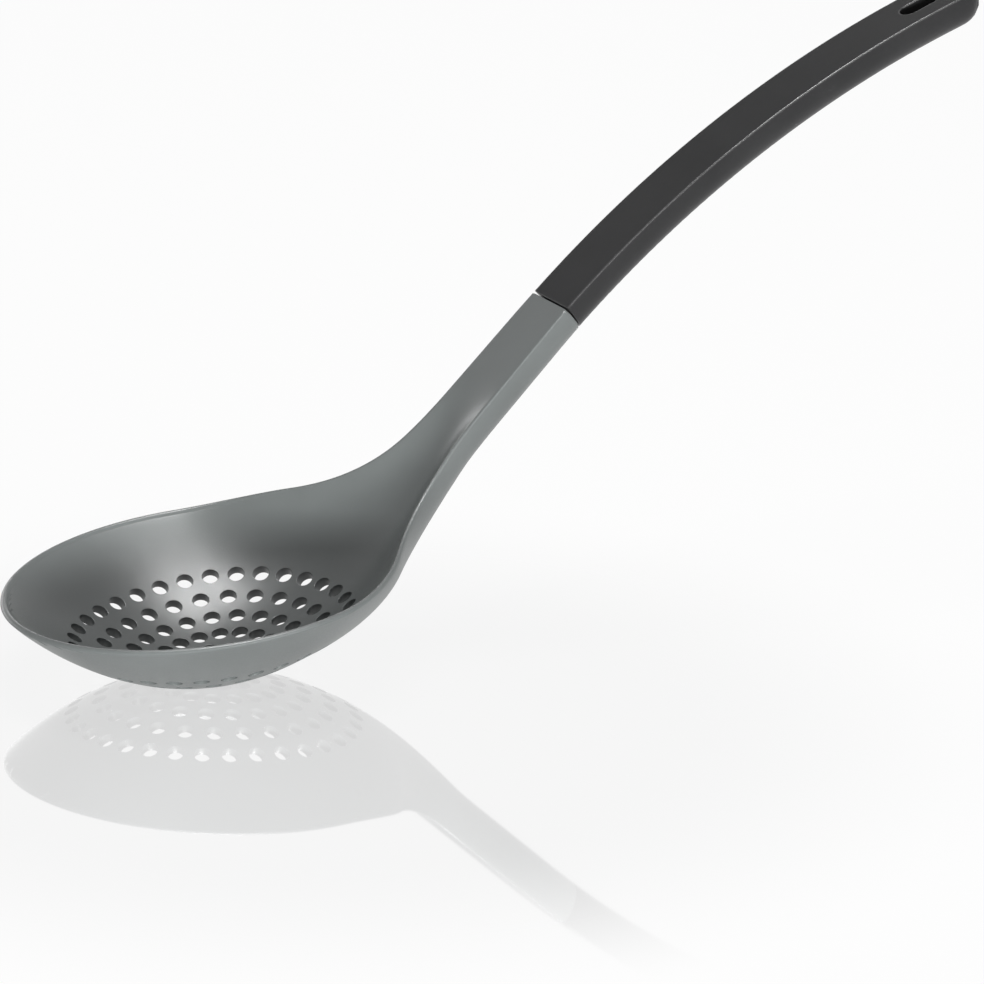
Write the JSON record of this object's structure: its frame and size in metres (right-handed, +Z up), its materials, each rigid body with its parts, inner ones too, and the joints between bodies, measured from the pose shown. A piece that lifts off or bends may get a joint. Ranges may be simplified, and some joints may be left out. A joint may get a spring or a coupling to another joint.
{
  "type": "perforated serving spoon",
  "caption": "Deep oval serving spoon with rings of round drain holes in its bowl, a rising neck and a black grip with a hanging slot.",
  "frame": {"origin": "on the ground under the middle of the spoon's length and width, as it is set down on its bowl with the handle raised", "axes": "+X runs from the bowl's tip to the handle's end, +Y across the bowl, +Z up"},
  "size_m": [0.3204, 0.106, 0.1313],
  "materials": {
    "nylon": "mid-grey satin nylon",
    "core": "black moulded plastic, hidden",
    "grip": "black satin soft-touch plastic"
  },
  "bodies": {
    "root": {"spoon_head": "nylon", "handle_core": "core", "handle_skin": "grip"}
  },
  "joints": []
}
